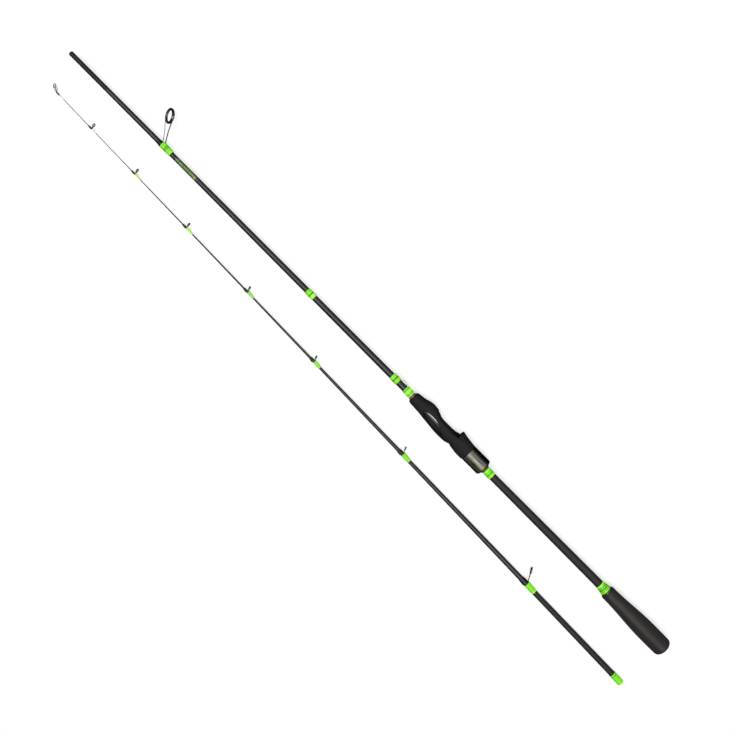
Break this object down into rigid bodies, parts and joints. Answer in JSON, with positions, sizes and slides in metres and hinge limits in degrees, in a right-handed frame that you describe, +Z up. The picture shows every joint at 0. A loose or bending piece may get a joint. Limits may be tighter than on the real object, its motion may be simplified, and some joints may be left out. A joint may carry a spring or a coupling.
{
  "type": "two-piece spinning rod",
  "caption": "Two-piece spinning rod taken apart: a handle section with screw-down reel seat, foam knob and stripper guide, beside a tapered tip section with line guides.",
  "frame": {"origin": "centre of the footprint of the two sections, on the surface they lie on", "axes": "+X along the handle section towards the knob, +Y the way the line guides point, +Z up"},
  "size_m": [1.09, 0.1282, 0.0258],
  "materials": {
    "carbon_blank": "glossy varnished carbon fibre, matt behind the reel seat",
    "guide_ring": "polished dark brown ceramic",
    "guide_frame": "smoke-grey stainless steel",
    "black_winding": "black thread under clear varnish",
    "pale_winding": "pale green thread under clear varnish",
    "green_winding": "bright green thread under clear varnish",
    "bright_wire": "bright stainless wire",
    "seat_plastic": "soft-touch black",
    "nut_plastic": "black moulded plastic",
    "nut_metal": "gunmetal anodised, turned",
    "arbor_resin": "bonded foam resin",
    "brown_check": "brown trim",
    "black_check": "black trim",
    "foam": "matt EVA foam"
  },
  "bodies": {
    "handle_section": {"butt_blank": "carbon_blank", "stripper_frame": "guide_frame", "stripper_ring": "guide_ring", "stripper_wrap": "green_winding", "stripper_lock_wrap": "black_winding", "mid_wrap": "green_winding", "hook_keeper": "bright_wire", "keeper_front_wrap": "green_winding", "keeper_rear_wrap": "green_winding", "front_check": "brown_check", "seat_body": "seat_plastic", "front_arbor": "arbor_resin", "rear_arbor": "arbor_resin", "nut_snap_ring": "bright_wire", "rear_check": "black_check", "grip_wrap": "green_winding", "knob_wrap": "green_winding", "knob_check": "black_check", "butt_knob": "foam"},
    "nut": {"lock_nut": "nut_plastic", "nut_sleeve": "nut_metal"},
    "hood": {"moving_hood": "seat_plastic"},
    "tip_section": {"tip_blank": "carbon_blank", "ferrule_wrap": "green_winding", "tip_top_frame": "guide_frame", "tip_top_ring": "guide_ring", "tip_top_wrap": "pale_winding", "guide_lock_wraps": "black_winding", "guide_1_frame": "guide_frame", "guide_1_ring": "guide_ring", "guide_1_wrap": "pale_winding", "guide_2_frame": "guide_frame", "guide_2_ring": "guide_ring", "guide_2_wrap": "green_winding", "guide_3_frame": "guide_frame", "guide_3_ring": "guide_ring", "guide_3_wrap": "green_winding", "guide_4_frame": "guide_frame", "guide_4_ring": "guide_ring", "guide_4_wrap": "green_winding", "guide_5_frame": "guide_frame", "guide_5_ring": "guide_ring", "guide_5_wrap": "green_winding", "guide_6_frame": "guide_frame", "guide_6_ring": "guide_ring", "guide_6_wrap": "green_winding", "guide_7_frame": "guide_frame", "guide_7_ring": "guide_ring", "guide_7_wrap": "green_winding"}
  },
  "joints": [
    {"name": "nut_spin", "type": "hinge", "parent": "handle_section", "child": "nut", "pos_m": [0.19281, 0.02017, 0.0129], "axis": [1, 0, 0], "range_deg": [0, 2160]},
    {"name": "hood_slide", "type": "slide", "parent": "handle_section", "child": "hood", "axis": [-1, 0, 0], "range_m": [0, 0.0181]},
    {"name": "tip_lift", "type": "slide", "parent": "handle_section", "child": "tip_section", "axis": [0, 0, 1], "range_m": [0, 0.06]}
  ],
  "couplings": [
    {"joint": "hood_slide", "follows": "nut_spin", "m_per_rad": 0.00047746}
  ]
}
